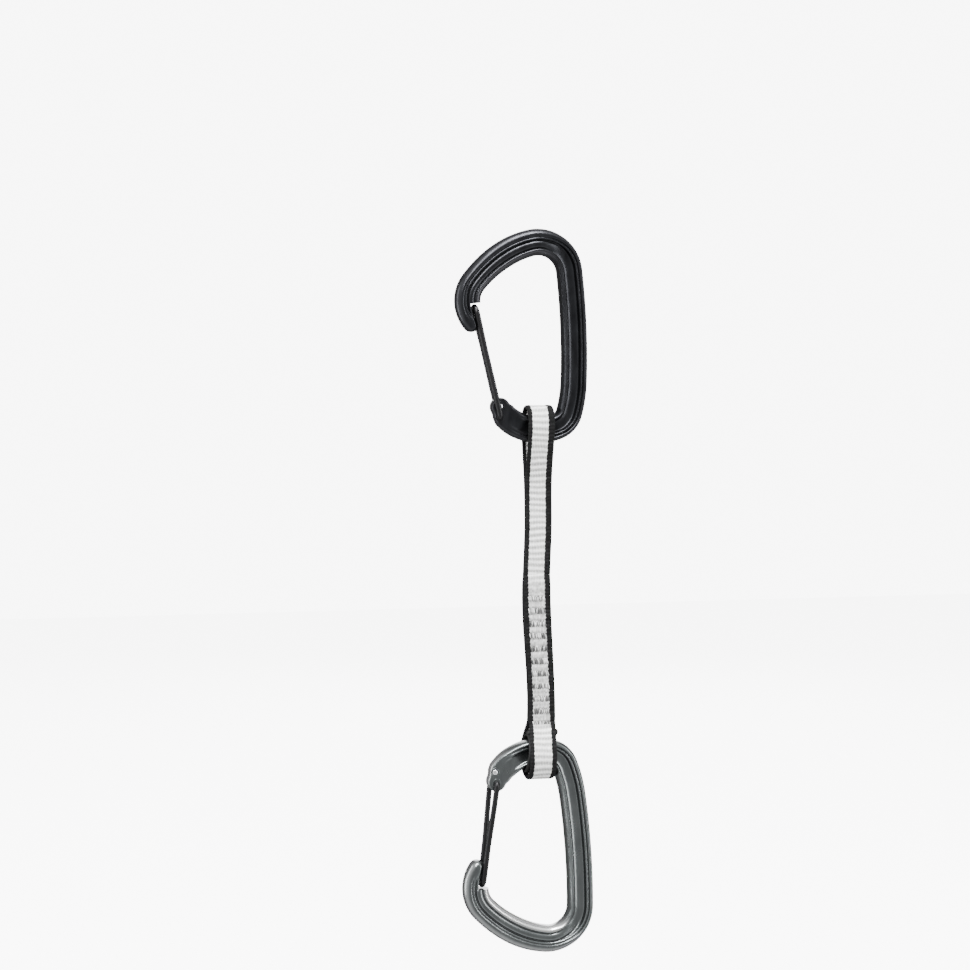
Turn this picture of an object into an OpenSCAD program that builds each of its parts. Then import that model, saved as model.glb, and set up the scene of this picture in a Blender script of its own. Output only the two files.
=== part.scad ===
// Climbing quickdraw: two bent-rod snap links with wire gates, joined by a sewn webbing sling.
// X runs across the links (gates at -X, spines at +X), Y is normal to the links' flat side, Z is up.
// The origin is the seat of the upper link's rope basket, where the draw hangs.

/* [Link frame] */
// Thickness of the rod in the plane of the link, mm
rod_t = 10.6; // [9.6:0.2:11]
// Width of the rod normal to the link, mm
rod_w = 8; // [7:0.5:9]
// Depth of the forged recess on each face, mm
recess_d = 2.2; // [1:0.1:2.6]
// Width of the forged recess, mm
recess_w = 5; // [3:0.2:5.6]
// Half thickness of the gate lug across the wire holes, mm
lug_half = 3.0; // [2.6:0.1:3.04]

/* [Gate] */
// Gate wire radius, mm
wire_r = 1.08; // [0.9:0.02:1.1]
// Radial running clearance of the front wire end in its hole, mm
pivot_gap = 0.05; // [0.02:0.01:0.1]
// Half spacing of the wire legs at the lug, mm
leg_y_lug = 4.15; // [4.15:0.05:4.6]
// Half spacing of the wire legs at the nose, mm
leg_y_nose = 2.85; // [2.8:0.05:3.2]

/* [Sling] */
// Webbing width, mm
web_w = 10.8; // [9:0.5:11]
// Webbing thickness of one ply, mm
web_t = 1.9; // [1.4:0.1:2]
// Number of bar tacks in the sewn zone
tack_n = 11; // [5:1:12]
// Pitch of the bar tacks, mm
tack_pitch = 5; // [4:0.1:5.1]
// Height of a bar tack along the sling, mm
tack_h = 2.2; // [1.4:0.1:2.8]

/* [Keeper] */
// Rubber keeper wall, mm
keeper_t = 1; // [0.6:0.1:1]
// Radius of the keeper's bead, mm
bead_r = 1.3; // [1:0.05:1.4]

/* [Hidden] */
$fn = 64;
h = rod_t/2;
// rod centreline as tangent arcs, travelled from the gate lug over the sling bar: [radius, turn]
arcs = [[20.6,64.0],[8.3,54.1],[53.4,13.6],[299.6,8.5],[12.9,97.3],[37.6,17.8],[47.5,20.6],[12,44.3]];
start_p = [-17.82,-13.35];
start_a = 50.01;
function cen(p,a,r) = [p[0]+r*sin(a), p[1]-r*cos(a)];
function adv(p,a,r,t) = let(c=cen(p,a,r)) [c[0]-r*sin(a-t), c[1]+r*cos(a-t)];
function pt(i) = i==0 ? start_p : adv(pt(i-1), hd(i-1), arcs[i-1][0], arcs[i-1][1]);
function hd(i) = i==0 ? start_a : hd(i-1)-arcs[i-1][1];
c0 = cen(start_p,start_a,arcs[0][0]);
c7 = cen(pt(7),hd(7),arcs[7][0]);
nose_t = 6.3;
nose_r = arcs[7][0]+h-nose_t/2;
// gate wire holes in the lug: front wire end (lower) and rear wire end (upper)
hole_f = [-19.8,-17.5];
hole_r = [-20.4,-13.1];
gate_end = [-24.9,-56.0];
gate_lean = atan2(-19.9-gate_end[0], -17.4-gate_end[1]);
// placing of the two links
up_c = [0.5,-49.2];
up_rot = 6.5;
low_x = 2.2;
low_z = -192.4;
// sling stations
loop_u_z = up_c[1]-arcs[0][0]+1.0;
loop_u_ri = 7.05;
flex_z = -102.4;
lap_top_z = -126.4;
lap_bot_z = -187.4;
loop_l_z = low_z-6.4;
loop_l_ri = 7.8;
vee_u = 22;
vee_l = 33;
tack_z0 = -135.8;

// points along arc i at offset u from the centreline, from turn t0 to t1
function arc_pts(i,u,t0,t1) = let(n=max(1,ceil((t1-t0)/6)), c=cen(pt(i),hd(i),arcs[i][0]), r=arcs[i][0]+u)
  [for (j=[0:n]) let(t=hd(i)-t0-(t1-t0)*j/n) [c[0]-r*sin(t), c[1]+r*cos(t)]];
// points of arcs 0 to 7 at offset u, arc 0 from turn s0 and arc 7 to turn s7; shared ends are kept once
function path_pts(u,s0,s7) = [for (i=[0:7]) let(q=arc_pts(i,u,i==0?s0:0,i==7?s7:arcs[i][1]))
  for (k=[0:len(q)-(i==7?1:2)]) q[k]];
function rev(v) = [for (k=[len(v)-1:-1:0]) v[k]];
function ring_pts(c,r,a0,a1,n) = [for (j=[0:n]) let(a=a0+(a1-a0)*j/n) [c[0]+r*cos(a), c[1]+r*sin(a)]];
lug_c = [-19.4,-17.0];
lug_r = 3.9;
nose_c = [c7[0]+nose_r*cos(145), c7[1]+nose_r*sin(145)];
// outline of the frame pulled in by d; lug 1 includes the gate lug
function outline(d,lug) = concat(
  path_pts(h-d, lug==1?0:4, arcs[7][1]),
  ring_pts(c7, nose_r+nose_t/2-d, 175, 145, 5),
  ring_pts(nose_c, nose_t/2-d, 130, -20, 10),
  ring_pts(c7, nose_r-nose_t/2+d, 145, 178, 5),
  [[c7[0]-(nose_r-nose_t/2+d), c7[1]-d], [c7[0]-(arcs[7][0]-h+d), c7[1]-d]],
  rev(path_pts(-h+d, lug==1?2:4, arcs[7][1]-6)),
  lug==1 ? ring_pts(lug_c, lug_r-d, -15, -205, 12) : []);
module slab(d,half,lug) { translate([0,0,-half]) linear_extrude(2*half) polygon(outline(d,lug)); }
// one link frame in its own plane: x across, y up, z normal
module link_flat(f=hole_f, r=hole_r) {
  difference() {
    union() {
      slab(0,lug_half-0.4,1);
      slab(0.3,lug_half,1);
      slab(0.12,rod_w/2-0.8,0);
      slab(0.55,rod_w/2-0.35,0);
      slab(1.3,rod_w/2,0);
    }
    // forged recess on each face
    for (m=[0,1]) mirror([0,0,m]) {
      translate([0,0,rod_w/2-recess_d]) linear_extrude(recess_d+1)
        polygon(concat(path_pts(recess_w/2-0.4,14,16), rev(path_pts(-recess_w/2+0.4,14,16))));
      translate([0,0,rod_w/2-recess_d/2]) linear_extrude(recess_d+1)
        polygon(concat(path_pts(recess_w/2,13,17), rev(path_pts(-recess_w/2,13,17))));
    }
    // wire holes
    translate([f[0],f[1],0]) cylinder(r=wire_r+pivot_gap,h=20,center=true);
    translate([r[0],r[1],0]) cylinder(r=wire_r-0.03,h=20,center=true);
    // flats beside the nose tongue that the wire legs straddle
    for (s=[-1,1]) translate([gate_end[0]-1.9,-60,s*5.55]) rotate([0,0,-gate_lean*0.85])
      translate([0,0.2,-4]) cube([8,19.8,8]);
  }
}
module rod(a,b,r) {
  d = b-a; l = norm(d);
  translate(a) rotate([0,acos(d[2]/l),atan2(d[1],d[0])]) cylinder(r=r,h=l,$fn=32);
}
module ball(p,r) { translate(p) sphere(r=r+0.02,$fn=32); }
// gate wire in the link's plane; +z is the front
module gate_flat(f=hole_f, r=hole_r) {
  e = [gate_end[0],gate_end[1]+0.9];
  // share of the way from the lug to the nose, and distance from the middle plane
  steps = [[0,leg_y_lug],[0.22,leg_y_lug-0.04],[1,leg_y_nose]];
  union() {
    rod([f[0],f[1],-lug_half+0.2],[f[0],f[1],leg_y_lug],wire_r);
    for (g=[[f,1],[r,-1]]) {
      p = [for (q=steps) [g[0][0]+q[0]*(e[0]-g[0][0]), g[0][1]+q[0]*(e[1]-g[0][1]), g[1]*q[1]]];
      for (k=[0:1]) rod(p[k],p[k+1],wire_r);
      for (k=[0:2]) ball(p[k],wire_r);
    }
    translate([e[0],e[1],0]) rotate([0,90,0])
      rotate([0,0,180]) rotate_extrude(angle=180,$fn=48) translate([leg_y_nose,0]) circle(r=wire_r,$fn=32);
  }
}
module pin_flat(r=hole_r) {
  translate([r[0],r[1],-leg_y_lug+wire_r+0.05]) cylinder(r=wire_r,h=leg_y_lug-wire_r-0.05+lug_half-0.1,$fn=32);
}
// plane of the link to the world: x, y up, z to the front (-Y)
module stand() { rotate([90,0,0]) children(); }
module place_low() { translate([low_x,0,low_z]) stand() children(); }
module place_up() {
  translate([up_c[0],0,up_c[1]]) stand() rotate([0,0,up_rot]) translate([-c0[0],c0[1],0]) mirror([0,1,0]) children();
}
module upper_link_frame() { color([0.10,0.10,0.11]) place_up() link_flat(hole_r, hole_f); }
module upper_gate_wire() { color([0.07,0.07,0.08]) place_up() gate_flat(hole_r, hole_f); }
module upper_gate_rear_end() { color([0.75,0.76,0.78]) place_up() pin_flat(hole_f); }
module lower_link_frame() { color([0.50,0.53,0.53]) place_low() link_flat(); }
module lower_gate_wire() { color([0.07,0.07,0.08]) place_low() gate_flat(); }
module lower_gate_rear_end() { color([0.75,0.76,0.78]) place_low() pin_flat(); }

// sling pieces: profile in the YZ plane, extruded across X
module across() { rotate([0,0,90]) rotate([90,0,0]) translate([0,0,-web_w/2]) linear_extrude(web_w) children(); }
// teardrop outline: a circle whose sides leave it at the given half angle and meet below it
function drop_pts(r,a,n=40) = concat([[0,-r/sin(a)]], [for (j=[0:n]) let(t=-a+(180+2*a)*j/n) [r*cos(t), r*sin(t)]]);
module drop(r,a) { polygon(drop_pts(r,a)); }
module sling_upper_loop() {
  color([0.93,0.93,0.92]) across() difference() {
    union() {
      translate([0,loop_u_z]) drop(loop_u_ri+web_t,vee_u);
      translate([-web_t,flex_z]) square([2*web_t,loop_u_z-flex_z-12]);
      translate([0,flex_z]) circle(r=web_t,$fn=48);
    }
    translate([0,loop_u_z]) drop(loop_u_ri,vee_u);
  }
}
module flex_cut() {
  translate([0,flex_z]) circle(r=web_t+0.12,$fn=48);
  for (s=[-1,1]) polygon([[0,flex_z],[s*3*web_t,flex_z],[s*3*web_t,flex_z-1.9*3*web_t/2.1],[s*web_t,flex_z-1.6]]);
}
module leg_ply(m) {
  difference() {
    mirror([m,0]) polygon([[-web_t,flex_z],[0,flex_z],[0,lap_top_z],[-web_t/2,lap_top_z-4],[-web_t/2,lap_bot_z+4],
      [-1.5*web_t,lap_bot_z+4],[-1.5*web_t,lap_top_z-4],[-web_t,lap_top_z]]);
    flex_cut();
  }
}
module sling_front_ply() { color([0.93,0.93,0.92]) across() leg_ply(0); }
module sling_back_ply() { color([0.92,0.92,0.91]) across() leg_ply(1); }
module sling_lap_ply() {
  color([0.90,0.90,0.89]) across() translate([-web_t/2,lap_bot_z+4]) square([web_t,lap_top_z-lap_bot_z-8.2]);
}
// lower loop outline: a teardrop squared off to three plies at its top
function tail_z(r) = loop_l_z+r/sin(vee_l)-1.5*web_t/tan(vee_l);
function loop_pts(r) = concat([[1.5*web_t,lap_bot_z+4],[1.5*web_t,tail_z(r)]],
  [for (j=[0:40]) let(t=vee_l-(180+2*vee_l)*j/40) [r*cos(t),loop_l_z+r*sin(t)]],
  [[-1.5*web_t,tail_z(r)],[-1.5*web_t,lap_bot_z+4]]);
module sling_lower_loop() {
  color([0.95,0.95,0.94]) across() difference() {
    polygon(loop_pts(loop_l_ri+web_t));
    translate([0,loop_l_z]) mirror([0,1]) drop(loop_l_ri,vee_l);
  }
}
module bar_tacks() {
  color([0.80,0.80,0.80]) for (i=[0:tack_n-1], s=[-1,1])
    translate([0,s*(1.5*web_t+0.2),tack_z0-i*tack_pitch]) cube([web_w-2.6,0.4,tack_h],center=true);
}
module keeper_rubber() {
  color([0.05,0.05,0.05]) union() {
    difference() {
      translate([-5.3,0,loop_l_z]) rotate([0,90,0]) cylinder(r=loop_l_ri-0.12,h=9.3,$fn=96);
      translate([-6,0,loop_l_z]) rotate([0,90,0]) cylinder(r=loop_l_ri-keeper_t,h=12,$fn=96);
    }
    translate([0,0,loop_l_z+loop_l_ri+0.05]) rotate([0,90,0]) cylinder(r=bead_r,h=web_w+1.8,center=true,$fn=32);
  }
}

upper_link_frame();
upper_gate_wire();
upper_gate_rear_end();
sling_upper_loop();
sling_front_ply();
sling_back_ply();
sling_lap_ply();
sling_lower_loop();
bar_tacks();
keeper_rubber();
lower_link_frame();
lower_gate_wire();
lower_gate_rear_end();
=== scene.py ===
import bpy, bmesh, math
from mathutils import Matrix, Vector, noise


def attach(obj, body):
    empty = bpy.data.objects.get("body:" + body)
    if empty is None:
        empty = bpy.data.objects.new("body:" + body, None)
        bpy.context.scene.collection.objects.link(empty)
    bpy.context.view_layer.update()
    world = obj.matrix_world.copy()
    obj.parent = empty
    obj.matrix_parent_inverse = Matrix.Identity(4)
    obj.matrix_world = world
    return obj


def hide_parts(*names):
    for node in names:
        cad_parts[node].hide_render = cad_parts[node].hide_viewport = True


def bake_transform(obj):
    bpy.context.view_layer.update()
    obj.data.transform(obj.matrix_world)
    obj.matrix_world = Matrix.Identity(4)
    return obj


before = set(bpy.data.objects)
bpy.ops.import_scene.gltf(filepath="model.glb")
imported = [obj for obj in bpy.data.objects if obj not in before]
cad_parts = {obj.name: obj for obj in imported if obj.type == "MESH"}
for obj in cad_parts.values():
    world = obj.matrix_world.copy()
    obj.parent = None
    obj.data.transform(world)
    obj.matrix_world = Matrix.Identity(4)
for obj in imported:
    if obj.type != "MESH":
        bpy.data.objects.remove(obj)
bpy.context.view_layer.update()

MM = 0.001
# ---------------------------------------------------------------- camera and stage
AZ = math.radians(-14.0)
S = 2.5                      # picture pixels per mm at the object
DIST = 900.0
AXIS_PX, EYE_PX = 538.0, 365.0
Z_TOP_PX = 255.4             # picture row of z = 0
eye_z = (Z_TOP_PX - EYE_PX) / S
cam_data = bpy.data.cameras.new("cam")
cam = bpy.data.objects.new("cam", cam_data)
bpy.context.scene.collection.objects.link(cam)
cam.location = Vector((math.sin(AZ) * DIST, -math.cos(AZ) * DIST, eye_z)) * MM
cam.rotation_euler = (math.radians(90), 0, AZ)
cam_data.sensor_width = 36.0
cam_data.lens = 36.0 * DIST / (970.0 / S)
cam_data.shift_x = -(AXIS_PX - 485.0) / 970.0
cam_data.shift_y = -(485.0 - EYE_PX) / 970.0
cam_data.clip_start = 0.01
cam_data.clip_end = 50
bpy.context.scene.camera = cam


# ---------------------------------------------------------------- materials
def principled(name, color, metallic=0.0, rough=0.5, coat=0.0, coat_rough=0.1, spec=0.5, sheen=0.0):
    m = bpy.data.materials.new(name)
    m.use_nodes = True
    b = m.node_tree.nodes["Principled BSDF"]
    b.inputs["Base Color"].default_value = (*color, 1)
    b.inputs["Metallic"].default_value = metallic
    b.inputs["Roughness"].default_value = rough
    b.inputs["Coat Weight"].default_value = coat
    b.inputs["Coat Roughness"].default_value = coat_rough
    b.inputs["Specular IOR Level"].default_value = spec
    b.inputs["Sheen Weight"].default_value = sheen
    return m, m.node_tree, b


def bump(nt, b, height, strength, dist):
    n = nt.nodes.new("ShaderNodeBump")
    n.inputs["Strength"].default_value = strength
    n.inputs["Distance"].default_value = dist
    nt.links.new(height, n.inputs["Height"])
    nt.links.new(n.outputs["Normal"], b.inputs["Normal"])
    return n


def obj_noise(nt, scale, detail=3.0, stretch=(1, 1, 1)):
    tc = nt.nodes.new("ShaderNodeTexCoord")
    mp = nt.nodes.new("ShaderNodeMapping")
    mp.inputs["Scale"].default_value = stretch
    nz = nt.nodes.new("ShaderNodeTexNoise")
    nz.inputs["Scale"].default_value = scale
    nz.inputs["Detail"].default_value = detail
    nt.links.new(tc.outputs["Object"], mp.inputs["Vector"])
    nt.links.new(mp.outputs["Vector"], nz.inputs["Vector"])
    return nz


def ramp(nt, src, stops):
    r = nt.nodes.new("ShaderNodeValToRGB")
    e = r.color_ramp.elements
    while len(e) < len(stops):
        e.new(0.5)
    for k, (p, c) in enumerate(stops):
        e[k].position = p
        e[k].color = (*c, 1)
    nt.links.new(src, r.inputs["Fac"])
    return r


def metal(name, dark, light, metallic, rough, rough_var, painted_highlight):
    m, nt, b = principled(name, light, metallic=metallic, rough=rough)
    n1 = obj_noise(nt, 420.0, 4.0, (1, 1, 0.35))
    r = ramp(nt, n1.outputs["Fac"], [(0.30, dark), (0.70, light)])
    # the edge attribute mixes a lighter colour into rounded rims: a painted highlight
    at = nt.nodes.new("ShaderNodeAttribute")
    at.attribute_name = "edge"
    mx = nt.nodes.new("ShaderNodeMixRGB")
    mx.blend_type = "MIX"
    mx.inputs["Color2"].default_value = (*painted_highlight, 1)
    nt.links.new(at.outputs["Fac"], mx.inputs["Fac"])
    nt.links.new(r.outputs["Color"], mx.inputs["Color1"])
    nt.links.new(mx.outputs["Color"], b.inputs["Base Color"])
    n2 = obj_noise(nt, 160.0, 5.0, (1, 1, 1))
    mr = nt.nodes.new("ShaderNodeMapRange")
    mr.inputs["To Min"].default_value = rough - rough_var
    mr.inputs["To Max"].default_value = rough + rough_var
    nt.links.new(n2.outputs["Fac"], mr.inputs["Value"])
    nt.links.new(mr.outputs["Result"], b.inputs["Roughness"])
    n3 = obj_noise(nt, 1500.0, 2.0)
    bump(nt, b, n3.outputs["Fac"], 0.05, 0.0001)
    return m


# the last colour of each is the painted highlight mixed in along the edges
mat_black = metal("black_anodised", (0.014, 0.014, 0.016), (0.026, 0.027, 0.030), 0.92, 0.30, 0.05, (0.05, 0.05, 0.055))
mat_grey = metal("grey_anodised", (0.092, 0.100, 0.101), (0.122, 0.132, 0.133), 0.94, 0.26, 0.05, (0.70, 0.70, 0.70))
mat_wire, nt_w, b_w = principled("black_wire", (0.010, 0.010, 0.011), metallic=0.7, rough=0.36)
nzw = obj_noise(nt_w, 900.0, 3.0)
bump(nt_w, b_w, nzw.outputs["Fac"], 0.18, 0.00015)
mat_bare, nt_b, b_b = principled("bare_wire_end", (0.80, 0.81, 0.82), metallic=1.0, rough=0.22)
mat_rubber, nt_r, b_r = principled("keeper_rubber", (0.006, 0.006, 0.006), rough=0.55, spec=0.2)
nzr = obj_noise(nt_r, 700.0, 4.0)
bump(nt_r, b_r, nzr.outputs["Fac"], 0.25, 0.0002)
mat_dark, _, _ = principled("hole_shadow", (0.008, 0.008, 0.009), rough=0.7)


def fabric(name):
    m, nt, b = principled(name, (0.85, 0.85, 0.84), rough=0.9, spec=0.12)
    at = nt.nodes.new("ShaderNodeAttribute")
    at.attribute_name = "Col"
    n1 = obj_noise(nt, 1900.0, 3.0)
    r = ramp(nt, n1.outputs["Fac"], [(0.30, (0.80, 0.80, 0.80)), (0.70, (1.0, 1.0, 1.0))])
    mx = nt.nodes.new("ShaderNodeMixRGB")
    mx.blend_type = "MULTIPLY"
    mx.inputs["Fac"].default_value = 1.0
    nt.links.new(at.outputs["Color"], mx.inputs["Color1"])
    nt.links.new(r.outputs["Color"], mx.inputs["Color2"])
    nt.links.new(mx.outputs["Color"], b.inputs["Base Color"])
    n2 = obj_noise(nt, 2600.0, 2.0)
    bump(nt, b, n2.outputs["Fac"], 0.35, 0.00018)
    return m


mat_web = fabric("webbing")
mat_thread = fabric("tack_thread")


# ---------------------------------------------------------------- mesh helpers
def make(name, verts, faces, mats, smooth=True, col=None, edge=None, mat_idx=None, sharp=None):
    me = bpy.data.meshes.new(name)
    me.from_pydata([tuple(v) for v in verts], [], faces)
    me.update()
    bm = bmesh.new()
    bm.from_mesh(me)
    bmesh.ops.recalc_face_normals(bm, faces=bm.faces)
    bm.to_mesh(me)
    bm.free()
    if col is not None:
        a = me.color_attributes.new("Col", "FLOAT_COLOR", "POINT")
        for i, c in enumerate(col):
            a.data[i].color = (c[0], c[1], c[2], 1)
    if edge is not None:
        a = me.attributes.new("edge", "FLOAT", "POINT")
        for i, c in enumerate(edge):
            a.data[i].value = c
    for m in mats:
        me.materials.append(m)
    for i, p in enumerate(me.polygons):
        p.use_smooth = smooth
        if mat_idx is not None:
            p.material_index = mat_idx[i]
    o = bpy.data.objects.new(name, me)
    bpy.context.scene.collection.objects.link(o)
    return o


def smoothstep(a, b, x):
    if a == b:
        return 0.0 if x < a else 1.0
    t = max(0.0, min(1.0, (x - a) / (b - a)))
    return t * t * (3 - 2 * t)


# ---------------------------------------------------------------- link frame
ARCS = [(20.6, 64.0), (8.3, 54.1), (53.4, 13.6), (299.6, 8.5), (12.9, 97.3), (37.6, 17.8), (47.5, 20.6), (12.0, 44.3)]
START = (-17.82, -13.35)
START_A = 50.01
H = 5.3
HOLE_F, HOLE_R = (-19.8, -17.5), (-20.4, -13.1)
GATE_END = (-24.9, -56.0)
UP_C, UP_ROT = (0.5, -49.2), 6.5
LOW_X, LOW_Z = 2.2, -192.4


def rad(a):
    return math.radians(a)


def cen(p, a, r):
    return (p[0] + r * math.sin(rad(a)), p[1] - r * math.cos(rad(a)))


def on_arc(c, a, r):
    return (c[0] - r * math.sin(rad(a)), c[1] + r * math.cos(rad(a)))


pts, hds = [START], [START_A]
for (r_, t_) in ARCS:
    c_ = cen(pts[-1], hds[-1], r_)
    pts.append(on_arc(c_, hds[-1] - t_, r_))
    hds.append(hds[-1] - t_)
C0 = cen(pts[0], hds[0], ARCS[0][0])
C7 = cen(pts[7], hds[7], ARCS[7][0])
NOSE_T = 6.3
NOSE_R = ARCS[7][0] + H - NOSE_T / 2


def to_low(x, y, n):
    return Vector((x + LOW_X, -n, y + LOW_Z)) * MM


def to_up(x, y, n):
    a, b = x - C0[0], -y + C0[1]
    c, s = math.cos(rad(UP_ROT)), math.sin(rad(UP_ROT))
    return Vector((a * c - b * s + UP_C[0], -n, a * s + b * c + UP_C[1])) * MM


# half profile from the inner edge (0) to the outer edge (1): share of width, recess depth share
SPINE = [(0, 0, 0), (.008, .24, 0), (.03, .47, 0), (.065, .69, 0), (.105, .86, 0), (.14, .95, 0), (.17, .985, 0),
         (.20, .97, .05), (.225, .95, .22), (.25, .93, .42), (.28, .92, .50), (.42, .92, .53), (.54, .92, .54), (.62, .92, .52),
         (.655, .92, .44), (.68, .94, .24), (.705, .97, .12), (.745, .98, .10), (.765, .97, .20), (.785, .96, .26), (.805, .97, .16),
         (.835, .99, 0), (.88, .97, 0), (.925, .86, 0), (.96, .66, 0), (.985, .42, 0), (.995, .22, 0), (1, 0, 0)]
BASKET = [(0, 0, 0), (.008, .20, 0), (.03, .40, 0), (.065, .60, 0), (.11, .77, 0), (.16, .88, 0), (.205, .90, 0),
          (.235, .88, .04), (.258, .83, .14), (.285, .85, .10), (.32, .92, .02), (.42, .955, 0), (.50, .93, .02), (.53, .91, .10),
          (.555, .88, .22), (.58, .90, .12), (.605, .95, .03), (.64, .95, .02), (.665, .93, .08), (.68, .92, .12), (.70, .94, .04),
          (.76, .94, 0), (.83, .86, 0), (.90, .72, 0), (.95, .54, 0), (.982, .33, 0), (.995, .18, 0), (1, 0, 0)]
LUG = [(0, 0, 0), (.006, .45, 0), (.02, .68, 0), (.045, .84, 0), (.08, .94, 0), (.12, .985, 0), (.16, 1, 0)] + \
      [(t, 1, 0) for t in (.20, .225, .25, .28, .42, .54, .62, .655, .68, .705, .745, .765, .785, .805)] + \
      [(.84, 1, 0), (.88, .985, 0), (.925, .93, 0), (.96, .81, 0), (.982, .62, 0), (.995, .38, 0), (1, 0, 0)]
K = len(SPINE)
assert len(BASKET) == K and len(LUG) == K


def prof(kl, kb, pk):
    """blend of lug (kl), basket (kb) and spine profiles, recess share pk"""
    out = []
    for a, b, c in zip(SPINE, BASKET, LUG):
        t = a[0] * (1 - kb) + b[0] * kb
        f = (a[1] - pk * a[2]) * (1 - kb) + (b[1] - pk * b[2]) * kb
        t = t * (1 - kl) + c[0] * kl
        f = f * (1 - kl) + c[1] * kl
        e = a[2] * (1 - kb) + b[2] * kb
        out.append((t, f, e))
    return out


def stations():
    st = []
    # lug tip to the first arc
    L = (-19.4, -17.0)
    ha = math.degrees(math.atan2(START[1] - L[1], START[0] - L[0]))
    for k in range(15):
        a = -3.9 * math.cos(math.pi / 2 * k / 14) if k else -3.895
        h = 3.9 * math.sqrt(max(0.0, 1 - (a / 3.9) ** 2))
        st.append(dict(p=(L[0] + a * math.cos(rad(ha)), L[1] + a * math.sin(rad(ha))), a=ha, h=max(h, 0.25), w=3.0 * (1 - 0.16 * (a / 3.9) ** 6), kl=1, kb=0, pk=0))
    for k in range(1, 8):
        t = k / 8
        st.append(dict(p=(L[0] + (START[0] - L[0]) * t, L[1] + (START[1] - L[1]) * t), a=ha + (START_A - ha) * t, h=3.9 + (5.05 - 3.9) * smoothstep(0, 1, t) , w=3.0, kl=1, kb=0, pk=0))
    for i, (r, turn) in enumerate(ARCS):
        c = cen(pts[i], hds[i], r)
        n = max(4, int(rad(turn) * r / 0.55))
        for k in range(n + (1 if i == 7 else 0)):
            f = k / n
            t = turn * f
            d = dict(p=on_arc(c, hds[i] - t, r), a=hds[i] - t, h=H, w=4.0, kl=0, kb=0, pk=1.12)
            if i == 0:
                d["h"] = 5.05 + 0.25 * smoothstep(0, 14, t)
                d["w"] = 3.0 + 1.0 * smoothstep(2, 26, t)
                d["kl"] = 1 - smoothstep(1, 27, t)
                d["pk"] = 1.12 * smoothstep(-6, 62, t)
            if i == 4:
                d["kb"] = smoothstep(0.22, 0.85, f)
            if i == 5 or i == 6:
                d["kb"] = 1
            if i == 7:
                d["kb"] = 1
                d["kl"] = 0.0
            if i in (4, 5, 6):
                g = {4: f * 0.5, 5: 0.5 + 0.5 * f, 6: 1 - f}[i]
                d["h"] = H + 0.28 * smoothstep(0, 1, g)
            st.append(d)
    # the nose: the outer part of the section carries on past the notch plane, then rounds off
    c, n = cen(pts[7], hds[7], ARCS[7][0]), 50
    base = dict(w=4.0, h=H, kl=0, kb=1, pk=1.12)
    for k in range(n + 1):
        t = 35.0 * k / n
        st.append(dict(base, p=on_arc(c, hds[8] - t, ARCS[7][0]), a=hds[8] - t, ns=1.0, w=4.0 - 0.25 * smoothstep(4, 30, t), cap=smoothstep(12, 27, t)))
    for k in range(1, 15):
        ext = NOSE_T / 2 * math.sin(math.pi / 2 * k / 14)
        a = hds[8] - 35.0
        p = on_arc(c, a, ARCS[7][0])
        q = ext / (NOSE_T / 2)
        st.append(dict(base, p=(p[0] + ext * math.cos(rad(a)), p[1] + ext * math.sin(rad(a))), a=a, ns=max(0.05, math.sqrt(max(0.0, 1 - q * q))), w=3.75 * (1 - 0.55 * q ** 3), cap=1.0))
    return st


def nose_section(pr, ns, cap):
    """squeeze the basket profile into its outer 0.594, closing the inner side"""
    out = []
    for t, f, e in pr:
        if t < 0.5:
            q = t / 0.5
            tn = 0.406 + 0.10 * (1 - math.cos(q * math.pi / 2))
            fn = 0.93 * math.sin(q * math.pi / 2) ** 0.8
        else:
            tn, fn = max(t, 0.507), f
        u = (tn - 0.406) / 0.594
        fc = max(0.0, 1 - abs(2 * u - 1) ** 2.8) ** 0.5
        fn = fn * (1 - cap) + fc * cap
        out.append((0.703 + (tn - 0.703) * ns, fn, e))
    return out


def ring(d, place, half_fun=None):
    """closed ring of points and edge values (painted highlight) for a station"""
    nx, ny = -math.sin(rad(d["a"])), math.cos(rad(d["a"]))
    pr = prof(d["kl"], d["kb"], d["pk"])
    if "ns" in d:
        pr = nose_section(pr, d["ns"], d["cap"])
        half_fun = nose_half
    pos, rim_highlight = [], []
    loop = [(t, f, 1, e) for t, f, e in pr] + [(t, f, -1, e) for t, f, e in pr[-2:0:-1]]
    for t, f, sgn, e in loop:
        u = (2 * t - 1) * d["h"]
        x, y = d["p"][0] + nx * u, d["p"][1] + ny * u
        n = f * d["w"]
        if half_fun:
            n = half_fun(x, y, t, n)
        pos.append(place(x, y, n * sgn))
        # edge values: painted highlight on the lug's inner and outer rims and on the basket's inner roll and outer rim
        lug_rim_highlight = d["kl"] * max(0.9 * smoothstep(0.11, 0.04, t), 0.45 * smoothstep(0.93, 0.975, t))
        rim_highlight.append(max(lug_rim_highlight, d["kb"] * (1 - d["kl"]) * max(smoothstep(0.26, 0.15, t) * 0.75, 0.14 * smoothstep(0.80, 0.88, t))))
    return pos, rim_highlight


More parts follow.
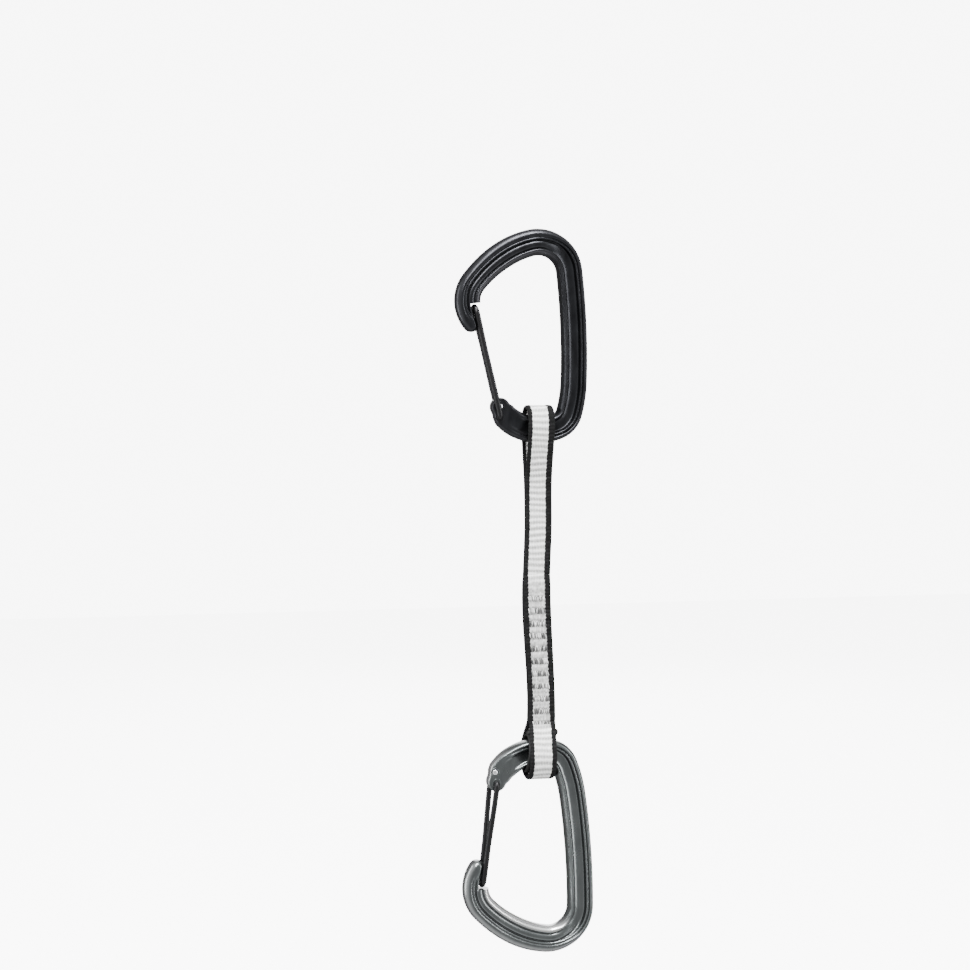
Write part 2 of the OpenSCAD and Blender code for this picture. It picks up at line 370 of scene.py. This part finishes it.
def loft(name, rings, marks, mats, sharp_rings=()):
    """skin of closed rings; points that fall on the ring before share its vertices"""
    verts, edge, faces, idx = [], [], [], []
    m = len(rings[0])
    for i, (r, e) in enumerate(zip(rings, marks)):
        row = []
        for j in range(m):
            if i and (r[j] - rings[i - 1][j]).length < 3e-6:
                row.append(idx[-1][j])
            else:
                row.append(len(verts))
                verts.append(r[j])
                edge.append(e[j])
        idx.append(row)
    for A, B in zip(idx, idx[1:]):
        for j in range(m):
            k = (j + 1) % m
            f = []
            for v in (A[j], A[k], B[k], B[j]):
                if v not in f:
                    f.append(v)
            if len(f) > 2:
                faces.append(tuple(f))
    for row in (idx[0], idx[-1]):
        c = sum((verts[v] for v in row), Vector()) / m
        verts.append(c)
        edge.append(0)
        for j in range(m):
            faces.append((row[j], row[(j + 1) % m], len(verts) - 1))
    o = make(name, verts, faces, mats, edge=edge)
    want = set()
    for i in sharp_rings:
        for j in range(m):
            k = (j + 1) % m
            if min(j, m - j) < 13 and min(k, m - k) < 13:
                want.add(frozenset((idx[i][j], idx[i][k])))
    for e in o.data.edges:
        if want and frozenset(e.vertices) in want:
            e.use_edge_sharp = True
    return o


# the gate leg's line in the link's plane, for the flats beside the nose tongue
GL = Vector((-19.9 - GATE_END[0], -17.4 - GATE_END[1])).normalized()


def leg_dist(x, y):
    """signed distance of a point right (+) of the gate leg's line"""
    dx, dy = x - GATE_END[0], y - GATE_END[1]
    return dx * GL[1] - dy * GL[0]


def nose_half(x, y, t, n):
    k = smoothstep(-1.95, -1.60, leg_dist(x, y))
    return n * (1 - k) + min(n, 1.60) * k


def lathe(name, centre, prof_pts, place, mats, n=40, front=1):
    """small turned piece: prof_pts are (radius, height along the normal)"""
    verts, faces = [], []
    for (r, z) in prof_pts:
        for k in range(n):
            a = 2 * math.pi * k / n
            verts.append(place(centre[0] + r * math.cos(a), centre[1] + r * math.sin(a), z * front))
    m = len(prof_pts)
    for i in range(m - 1):
        for k in range(n):
            faces.append((i * n + k, i * n + (k + 1) % n, (i + 1) * n + (k + 1) % n, (i + 1) * n + k))
    faces.append(tuple(range(n)))
    faces.append(tuple(range((m - 1) * n, m * n)))
    return make(name, verts, faces, mats)


def tube(name, path, r, mat, n=20, cap=True):
    verts, faces = [], []
    up = None
    P = [Vector(p) for p in path]
    for i, p in enumerate(P):
        t = (P[min(i + 1, len(P) - 1)] - P[max(i - 1, 0)]).normalized()
        if up is None:
            up = t.orthogonal().normalized()
        up = (up - t * up.dot(t)).normalized()
        b = t.cross(up)
        rr = r[i] if isinstance(r, list) else r
        for k in range(n):
            a = 2 * math.pi * k / n
            verts.append(p + up * math.cos(a) * rr + b * math.sin(a) * rr)
    for i in range(len(P) - 1):
        for k in range(n):
            faces.append((i * n + k, i * n + (k + 1) % n, (i + 1) * n + (k + 1) % n, (i + 1) * n + k))
    for i0 in (0, (len(P) - 1) * n):
        verts.append(sum((verts[i0 + j] for j in range(n)), Vector()) / n)
        for k in range(n):
            faces.append((i0 + k, i0 + (k + 1) % n, len(verts) - 1))
    return make(name, verts, faces, [mat])


def filleted(points, radii, seg=9):
    """polyline with rounded corners"""
    out = [Vector(points[0])]
    for i in range(1, len(points) - 1):
        p0, p, p1 = Vector(points[i - 1]), Vector(points[i]), Vector(points[i + 1])
        a, b = (p0 - p).normalized(), (p1 - p).normalized()
        half = math.acos(max(-1, min(1, a.dot(b)))) / 2
        d = min(radii[i] / math.tan(half), (p0 - p).length * 0.49, (p1 - p).length * 0.49)
        for k in range(seg + 1):
            t = k / seg
            q0, q1 = p + a * d, p + b * d
            out.append(q0 * (1 - t) ** 2 + p * 2 * t * (1 - t) + q1 * t * t)
    out.append(Vector(points[-1]))
    # evenly split long stretches
    res = [out[0]]
    for q in out[1:]:
        L = (q - res[-1]).length
        k = max(1, int(L / 1.2))
        base = res[-1]
        for j in range(1, k + 1):
            res.append(base + (q - base) * j / k)
    return res


def link(prefix, place, mat, body, gate_body, node, gate_node, end_node, HOLE_F, HOLE_R):
    rings, marks = [], []
    for d in stations():
        p, e = ring(d, place)
        rings.append(p)
        marks.append(e)
    notch = [i for i, d in enumerate(stations()) if "ns" in d][0]
    body_o = loft(prefix + "_body", rings, marks, [mat], sharp_rings=(notch - 1, notch))
    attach(body_o, body)
    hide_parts(node)
    # hole rims with a countersink, and the rear wire's visible cut end, domed
    for nm, c, sd in (("front_hole_rim", HOLE_F, 1), ("rear_hole_rim", HOLE_R, 1), ("front_hole_rim_back", HOLE_F, -1), ("rear_hole_rim_back", HOLE_R, -1)):
        o = lathe(prefix + "_" + nm, c, [(1.78, 2.9), (1.78, 3.004), (1.70, 3.045), (1.58, 3.05), (1.46, 3.02), (1.22, 2.93), (0.6, 2.92)], place, [mat], front=sd)
        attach(o, body)
        o = lathe(prefix + "_" + nm + "_shadow", c, [(1.30, 2.9), (1.30, 2.975), (1.27, 2.985), (0.5, 2.985)], place, [mat_dark], front=sd)
        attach(o, body)
    o = lathe(prefix + "_rear_wire_end", HOLE_R, [(1.06, -4.1), (1.06, 2.9), (0.98, 2.98), (0.92, 3.06), (0.80, 3.15), (0.55, 3.22), (0.12, 3.25)], place, [mat_bare])
    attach(o, body)
    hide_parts(end_node)
    # gate: one bent wire from the front hole round the nose notch to the rear hole
    fy, ny = 4.15, 2.85
    ge = (GATE_END[0], GATE_END[1] + 0.9)

    def leg(h, f, n, sgn):
        return (h[0] + f * (ge[0] - h[0]), h[1] + f * (ge[1] - h[1]), sgn * n)

    path = [(HOLE_F[0], HOLE_F[1], -2.7), (HOLE_F[0], HOLE_F[1], fy), leg(HOLE_F, 0.22, fy - 0.04, 1), leg(HOLE_F, 0.66, 2.62, 1), leg(HOLE_F, 0.86, 2.85, 1), (ge[0], ge[1], ny)]
    path2 = [(ge[0], ge[1], -ny), leg(HOLE_R, 0.86, 2.85, -1), leg(HOLE_R, 0.66, 2.62, -1), leg(HOLE_R, 0.22, fy - 0.04, -1), (HOLE_R[0] - 0.05, HOLE_R[1] - 0.35, -fy)]
    front = filleted(path, [0, 1.5, 20, 20, 20, 0])
    # closed end
    arc = []
    dirx, diry = -GL[0], -GL[1]
    for k in range(1, 24):
        a = math.pi * k / 24
        q = ny * math.sin(a)
        arc.append(Vector((ge[0] + dirx * q * 0.98, ge[1] + diry * q * 0.98, ny * math.cos(a))))
    back = filleted(path2, [0, 20, 20, 20, 0])
    allp = front + arc + back
    rr = [1.12] * len(allp)
    # rounded end at the rear hole
    last = allp[-1]
    dd = (allp[-1] - allp[-2]).normalized()
    for k in range(1, 7):
        a = math.pi / 2 * k / 6
        allp.append(last + dd * 1.05 * math.sin(a))
        rr.append(max(0.08, 1.12 * math.cos(a)))
    W = [place(p[0], p[1], p[2]) for p in allp]
    g = tube(prefix + "_gate", W, [r * MM for r in rr], mat_wire, n=24)
    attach(g, gate_body)
    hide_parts(gate_node)
    return body_o


link("upper_carabiner", to_up, mat_black, "upper_carabiner", "upper_gate", "upper_link_frame", "upper_gate_wire", "upper_gate_rear_end", HOLE_R, HOLE_F)
link("lower_carabiner", to_low, mat_grey, "lower_carabiner", "lower_gate", "lower_link_frame", "lower_gate_wire", "lower_gate_rear_end", HOLE_F, HOLE_R)

# ---------------------------------------------------------------- sling
WEB_W, WEB_T = 10.8, 1.8
LOOP_U_Z = UP_C[1] - ARCS[0][0] + 1.0
LOOP_L_Z = LOW_Z - 6.4
TACK_Z = [-137.0 - k * 5.0 for k in range(11)]


def catmull(P, ds=0.3):
    """smooth curve through (y, z) points, resampled evenly"""
    out = []
    Q = [P[0]] + P + [P[-1]]
    for i in range(1, len(Q) - 2):
        p0, p1, p2, p3 = Q[i - 1], Q[i], Q[i + 1], Q[i + 2]
        L = math.hypot(p2[0] - p1[0], p2[1] - p1[1])
        n = max(2, int(L / 0.1))
        for k in range(n):
            t = k / n
            out.append(tuple(0.5 * ((2 * p1[j]) + (-p0[j] + p2[j]) * t + (2 * p0[j] - 5 * p1[j] + 4 * p2[j] - p3[j]) * t * t +
                                    (-p0[j] + 3 * p1[j] - 3 * p2[j] + p3[j]) * t ** 3) for j in range(2)))
    out.append(P[-1])
    res, acc = [out[0]], 0.0
    for a, b in zip(out, out[1:]):
        acc += math.hypot(b[0] - a[0], b[1] - a[1])
        if acc >= ds:
            res.append(b)
            acc = 0.0
    return res


def hash1(i, j=0):
    v = math.sin(i * 12.9898 + j * 78.233) * 43758.5453
    return v - math.floor(v)


def tack_dip(z, zs=TACK_Z):
    d = min(abs(z - t) for t in zs)
    return smoothstep(1.9, 0.6, d)


def web_strip(name, path, outer_sign, tacks=True, closed_ends=True, x0=0.0, width=WEB_W, thick=WEB_T):
    """woven strip along (y, z) points; outer_sign picks the side that carries the weave relief"""
    NX = 84
    s = 0.0
    verts, col, faces = [], [], []
    ring_n = 2 * (NX + 1)
    xs = [-(width / 2) + width * (0.5 - 0.5 * math.cos(math.pi * k / NX)) * 0.18 + width * k / NX * 0.82 for k in range(NX + 1)]
    prev = path[0]
    for i, (y, z) in enumerate(path):
        s += math.hypot(y - prev[0], z - prev[1])
        prev = (y, z)
        a = path[max(i - 1, 0)]
        b = path[min(i + 1, len(path) - 1)]
        tl = math.hypot(b[0] - a[0], b[1] - a[1])
        ty, tz = (b[0] - a[0]) / tl, (b[1] - a[1]) / tl
        ny, nz = -tz * outer_sign, ty * outer_sign
        dip = tack_dip(z) if tacks else 0.0
        tk = 0.20 * dip
        loose = max(smoothstep(-132.4, -127.4, z), smoothstep(-184.5, -189.5, z))
        sel_r = 0.57 - 0.08 * smoothstep(-190, -180, z) - 0.04 * smoothstep(-135, -120, z)
        wob = 0.10 * math.sin(s * 0.55) + 0.08 * math.sin(s * 1.37 + 1.0)
        front, back, cf, cb = [], [], [], []
        for k, x in enumerate(xs):
            e = abs(x) / (width / 2)
            sel = smoothstep(0.0, 0.035, e - (sel_r if x > 0 else 0.70) + 0.022 * math.sin(s * 4.3 + (3 if x > 0 else 0)) + 0.012 * math.sin(s * 1.1))
            rnd = (1 - e ** 14) ** 0.5 if e < 1 else 0.0
            # weft ribs about 2.8 mm apart, bowed a little across the width
            ph = (s + 0.22 * math.sin(x * 0.5 + s * 0.12) + 0.15 * math.cos(x * 0.35)) / 2.86
            big = 0.5 + 0.5 * math.cos(2 * math.pi * ph)
            ph2 = (s + 0.20 * math.sin(x * 0.45 + s * 0.23) + 0.10 * math.sin(s * 0.9)) / 2.40
            rib = (0.5 + 0.5 * math.cos(2 * math.pi * ph2)) ** 1.3
            # warp yarns that show as bright dots along each rib
            yarn_i = math.floor(x / 0.64)
            yarn = math.sin(math.pi * (x / 0.64 - yarn_i)) ** 1.2
            pick = 0.5 + 0.5 * math.cos(2 * math.pi * (s / 1.15 + 0.5 * (yarn_i % 2)))
            amp = 0.45 + 0.55 * loose
            core = (0.16 * rib + 0.05 * big) * amp + 0.10 * yarn * (0.25 + 0.75 * pick)
            # selvage: rope-like lumps
            lump = 0.5 + 0.5 * math.cos(2 * math.pi * (s / 1.45 + (0.3 if x > 0 else 0)))
            selr = 0.10 + 0.16 * lump + 0.04 * math.sin(x * 9)
            rel = core * (1 - sel) + selr * sel
            h = thick / 2 * rnd + (rel - 0.10) * min(1.0, rnd * 1.5) - tk * (1 - sel * 0.3)
            # colour follows the relief: lighter on rib and yarn crests, darker between them, a painted highlight and
            # painted shade; the hash terms add a random per-yarn tone, darker and more mottled in the sewn zone
            r2 = rib * amp + (1 - amp) * 0.65
            g = 0.12 + 0.72 * r2 + yarn * (0.50 - 0.26 * r2) * (0.75 + 0.25 * pick) + 0.06 * big
            g *= (0.90 + 0.20 * hash1(yarn_i, math.floor(s / 1.15))) * loose + (0.46 + 0.42 * hash1(yarn_i, math.floor(s / 0.8))) * (1 - loose)
            # painted shade in the stitched dips of the bar tacks
            g *= 1 - 0.38 * dip
            # black selvage, a little lighter on its lumps: painted highlight
            dk = 0.004 + 0.009 * lump * hash1(math.floor(s / 1.45), 3 if x > 0 else 7)
            c = (g * (1 - sel) + dk * sel, g * (1 - sel) + dk * sel, (g * 0.985) * (1 - sel) + dk * 1.05 * sel)
            xx = x + x0 + (wob * 0.35 if e > 0.9 else 0) * (1 if x > 0 else -1) * 0.3 + 0.10 * math.sin(s * 0.11)
            front.append(Vector((xx, y + ny * h, z + nz * h)) * MM)
            hb = thick / 2 * rnd + (rel - 0.10) * min(1.0, rnd * 1.5) * 0.7 - tk * 0.2
            back.append(Vector((xx, y - ny * hb, z - nz * hb)) * MM)
            cf.append(c)
            cb.append(c)
        verts += front + back[::-1]
        col += cf + cb[::-1]
    m = ring_n
    for i in range(len(path) - 1):
        for j in range(m):
            a, b = i * m + j, i * m + (j + 1) % m
            faces.append((a, b, b + m, a + m))
    n0 = 0
    for i0 in (0, (len(path) - 1) * m):
        c = sum((verts[i0 + j] for j in range(m)), Vector()) / m
        verts.append(c)
        col.append((0.5, 0.5, 0.5))
        for j in range(m):
            faces.append((i0 + j, i0 + (j + 1) % m, len(verts) - 1))
    return make(name, verts, faces, [mat_web], col=col)


def lean(o):
    """the strap hangs with a slight sideways curve over its sewn zone"""
    for v in o.data.vertices:
        z = v.co.z / MM
        v.co.x += (-0.7 * smoothstep(-104, -132, z) + 2.0 * smoothstep(-134, -182, z) - 1.1 * smoothstep(-184, -198, z)) * MM


# one long strip: up the front ply, over the upper bar, down the back ply and round the lower bar
q = WEB_T / 2 + 0.08
sew = 1.5 * WEB_T + 0.06 - WEB_T / 2 + 0.03
upper_old = [(-q, -126), (-q, -118), (-q - 0.05, -108), (-q - 0.05, -100), (-q - 0.25, -94), (-1.9, -88), (-3.5, -81), (-5.2, -74.5), (-6.1, -69.5),
         (-6.0, -65.5), (-4.6, -62.2), (-2.4, -60.85), (0, -60.5), (2.4, -60.85), (4.6, -62.2), (6.0, -65.5), (6.1, -69.5),
         (5.2, -74.5), (3.5, -81), (1.9, -88), (q + 0.25, -94), (q + 0.05, -100), (q + 0.05, -108), (q, -118), (q, -126)]
upper = [(y, z - (0.3 if z > -95 else 1.4)) for (y, z) in upper_old]
lower_back = [(sew - 0.25, -130.4), (sew, -133.4), (sew, -150), (sew, -170), (sew, -184.4), (sew + 0.3, -186.6), (3.7, -189.2), (6.2, -193.0), (8.2, -197.2),
              (8.55, -200.4), (7.5, -204.3), (5.0, -207.0), (1.8, -208.15), (0, -208.3)]
lower_front = [(-y, z) for (y, z) in lower_back[::-1][1:]]
loop = upper + lower_back + lower_front
full = catmull(loop + [(-q, -127.4)], 0.32)
strap = web_strip("sling_webbing", full, 1)
lean(strap)
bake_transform(strap)
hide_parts("sling_upper_loop", "sling_front_ply", "sling_back_ply", "sling_lower_loop")

# the lapped end between the two plies, with its cut ends a little proud at the sides
lap = web_strip("sling_lap_end", catmull([(0, -126.6), (0, -135), (0, -160), (0, -186.9)], 0.4), 1, tacks=False, x0=-0.35, width=10.3, thick=1.75)
lean(lap)
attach(lap, "sling_sewn")
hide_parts("sling_lap_ply")

# ---------------------------------------------------------------- bar tacks: zigzag thread
tv, tf, tc = [], [], []


def thread(p0, p1, r, c, lift):
    p0, p1 = Vector(p0), Vector(p1)
    n, seg = 6, 5
    d = (p1 - p0).normalized()
    out = Vector((0, lift, 0)).normalized()
    side = d.cross(out).normalized()
    base = len(tv)
    for i in range(seg + 1):
        t = i / seg
        b = p0 + (p1 - p0) * t + out * (0.16 * math.sin(math.pi * t))
        rr = r * (0.55 + 0.45 * math.sin(math.pi * t))
        for k in range(n):
            a = 2 * math.pi * k / n
            tv.append((b + out * math.cos(a) * rr + side * math.sin(a) * rr * 1.15) * MM)
            tc.append(c)
    for i in range(seg):
        for k in range(n):
            tf.append((base + i * n + k, base + i * n + (k + 1) % n, base + (i + 1) * n + (k + 1) % n, base + (i + 1) * n + k))
    tf.append(tuple(base + k for k in range(n)))
    tf.append(tuple(base + seg * n + k for k in range(n)))


ysurf = sew + WEB_T / 2 - 0.16
for ti, zt in enumerate(TACK_Z):
    for sgn in (-1, 1):
        ys = ysurf
        if zt < -186.6:
            ys += 0.35
        nst = 19
        for k in range(nst):
            x = -3.75 + 6.35 * k / (nst - 1) + 0.10 * (hash1(ti * 31 + k, sgn) - 0.5)
            hgt = 1.05 + 0.25 * hash1(k + ti * 7, 5)
            zig = 0.30 if k % 2 else -0.30
            # stitch colour: random light greys, with most stitches near black as painted shade between the stitches
            g = 0.42 + 0.38 * hash1(k * 3 + ti, sgn + 9)
            if hash1(k + 13 * ti, 21 + sgn) > 0.40:
                g = 0.05 + 0.10 * hash1(k, ti)
            thread((x - zig, sgn * ys, zt - hgt), (x + zig, sgn * ys, zt + hgt), 0.22, (g, g, g * 0.99), sgn)
        # two runs across under the zigzag, dark grey as painted shade beneath it
        for dz in (-0.55, 0.6):
            for k in range(5):
                xa = -3.7 + 1.25 * k
                thread((xa, sgn * (ys - 0.08), zt + dz), (xa + 1.23, sgn * (ys - 0.08), zt + dz + 0.1 * (hash1(k, ti) - 0.5)), 0.15, (0.30, 0.30, 0.29), sgn)
tacks = make("bar_tack_thread", tv, tf, [mat_thread], col=tc)
lean(tacks)
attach(tacks, "sling_sewn")
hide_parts("bar_tacks")

# ---------------------------------------------------------------- rubber keeper
kv, kf = [], []
NA, NL = 72, 26
for j in range(2):
    for i in range(NL + 1):
        for k in range(NA):
            a = 2 * math.pi * k / NA
            lowness = 0.5 - 0.5 * math.sin(a)                 # 1 under the bar, 0 above it
            xl = -5.5 - 0.9 * smoothstep(0.25, 0.95, lowness)
            xr = 4.0
            x = xl + (xr - xl) * i / NL
            edge = min(1.0, min(i, NL - i) / 1.5)
            r = (7.5 - 0.22 * (1 - edge)) if j == 0 else (6.85 + 0.12 * (1 - edge))
            kv.append(Vector((x, math.cos(a) * r, LOOP_L_Z + math.sin(a) * r * 1.0)) * MM)
ro = (NL + 1) * NA
for j in range(2):
    for i in range(NL):
        for k in range(NA):
            a = j * ro + i * NA + k
            b = j * ro + i * NA + (k + 1) % NA
            kf.append((a, b, b + NA, a + NA))
for i in (0, NL):
    for k in range(NA):
        a, b = i * NA + k, i * NA + (k + 1) % NA
        kf.append((a, b, b + ro, a + ro))
keeper = make("keeper_sleeve", kv, kf, [mat_rubber])
lean(keeper)
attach(keeper, "sling_sewn")
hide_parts("keeper_rubber")
zb = LOOP_L_Z + 7.85
bp, br = [], []
for k in range(9):
    a = math.pi / 2 * k / 8
    bp.append((-5.6 + 1.0 * (1 - math.cos(a)) * 1.0 - 0.0, 0, zb)); br.append(max(0.1, 1.3 * math.sin(a)))
for k in range(1, 16):
    bp.append((-4.6 + 11.0 * k / 16, 0, zb)); br.append(1.3)
for k in range(9):
    a = math.pi / 2 * k / 8
    bp.append((6.4 + 1.05 * math.sin(a), 0, zb)); br.append(max(0.1, 1.38 * math.cos(a) if k else 1.38))
bead = tube("keeper_bead", [Vector((p[0], p[1], p[2])) * MM for p in bp], [r * MM for r in br], mat_rubber, n=24)
lean(bead)
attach(bead, "sling_sewn")

# ---------------------------------------------------------------- floor, backdrop and light
def plain(name, verts, faces, mat):
    me = bpy.data.meshes.new(name)
    me.from_pydata(verts, [], faces)
    me.materials.append(mat)
    o = bpy.data.objects.new(name, me)
    bpy.context.scene.collection.objects.link(o)
    return o


mf, ntf, bf = principled("floor", (0.95, 0.95, 0.95), rough=0.95, spec=0.05)
bf.inputs["Emission Color"].default_value = (1, 1, 1, 1)
bf.inputs["Emission Strength"].default_value = 6.0
floor = plain("floor", [(-2, -2, -0.36), (2, -2, -0.36), (2, 2, -0.36), (-2, 2, -0.36)], [(0, 1, 2, 3)], mf)
mb = bpy.data.materials.new("backdrop")
mb.use_nodes = True
mb.node_tree.nodes.clear()
em = mb.node_tree.nodes.new("ShaderNodeEmission")
em.inputs["Strength"].default_value = 8.2
mo = mb.node_tree.nodes.new("ShaderNodeOutputMaterial")
mb.node_tree.links.new(em.outputs["Emission"], mo.inputs["Surface"])
NB = 64
bv = [(6 * math.cos(2 * math.pi * k / NB), 6 * math.sin(2 * math.pi * k / NB), z) for z in (-4, 4) for k in range(NB)]
bf_ = [(k, (k + 1) % NB, NB + (k + 1) % NB, NB + k) for k in range(NB)]
drop = plain("backdrop", bv, bf_, mb)
low = plain("backdrop_floor", [(-6, -6, -0.37), (6, -6, -0.37), (6, 6, -0.37), (-6, 6, -0.37)], [(0, 1, 2, 3)], mb)
for o in (floor, drop, low):
    o.visible_diffuse = False
    o.visible_glossy = False
    o.visible_shadow = False
    o.visible_transmission = False


def area(name, loc, target, size, power, sy=None):
    d = bpy.data.lights.new(name, "AREA")
    d.energy = power
    d.shape = "RECTANGLE"
    d.size = size
    d.size_y = sy or size
    o = bpy.data.objects.new(name, d)
    o.location = loc
    o.rotation_euler = (Vector(target) - Vector(loc)).to_track_quat("-Z", "Y").to_euler()
    bpy.context.scene.collection.objects.link(o)
    return o


area("key", (-0.60, -0.95, 0.95), (0, 0, -0.14), 0.30, 40, 1.0)
area("fill", (1.15, -0.75, 0.0), (0, 0, -0.14), 0.22, 12, 1.2)
area("top", (0.0, -0.45, 1.15), (0, 0, -0.14), 0.55, 46, 0.35)
area("back", (0.3, 1.2, 0.4), (0, 0, -0.14), 0.7, 10, 0.9)
area("side", (-1.2, 0.15, -0.1), (0, 0, -0.14), 0.3, 10, 1.2)
w = bpy.data.worlds.new("w")
bpy.context.scene.world = w
w.use_nodes = True
bg = w.node_tree.nodes["Background"]
bg.inputs["Color"].default_value = (1, 1, 1, 1)
tcw = w.node_tree.nodes.new("ShaderNodeTexCoord")
sep = w.node_tree.nodes.new("ShaderNodeSeparateXYZ")
mrw = w.node_tree.nodes.new("ShaderNodeMapRange")
mrw.interpolation_type = "SMOOTHSTEP"
mrw.inputs["From Min"].default_value = -0.95
mrw.inputs["From Max"].default_value = -0.35
mrw.inputs["To Min"].default_value = 0.75
mrw.inputs["To Max"].default_value = 1.9
w.node_tree.links.new(tcw.outputs["Generated"], sep.inputs["Vector"])
w.node_tree.links.new(sep.outputs["Y"], mrw.inputs["Value"])
# darker behind the object, so that rounded metal edges read dark against the pale ground
mrb = w.node_tree.nodes.new("ShaderNodeMapRange")
mrb.interpolation_type = "SMOOTHSTEP"
mrb.inputs["From Min"].default_value = -0.05
mrb.inputs["From Max"].default_value = 0.60
mrb.inputs["To Min"].default_value = 1.0
mrb.inputs["To Max"].default_value = 0.16
mul = w.node_tree.nodes.new("ShaderNodeMath")
mul.operation = "MULTIPLY"
w.node_tree.links.new(sep.outputs["Y"], mrb.inputs["Value"])
w.node_tree.links.new(mrw.outputs["Result"], mul.inputs[0])
w.node_tree.links.new(mrb.outputs["Result"], mul.inputs[1])
w.node_tree.links.new(mul.outputs["Value"], bg.inputs["Strength"])
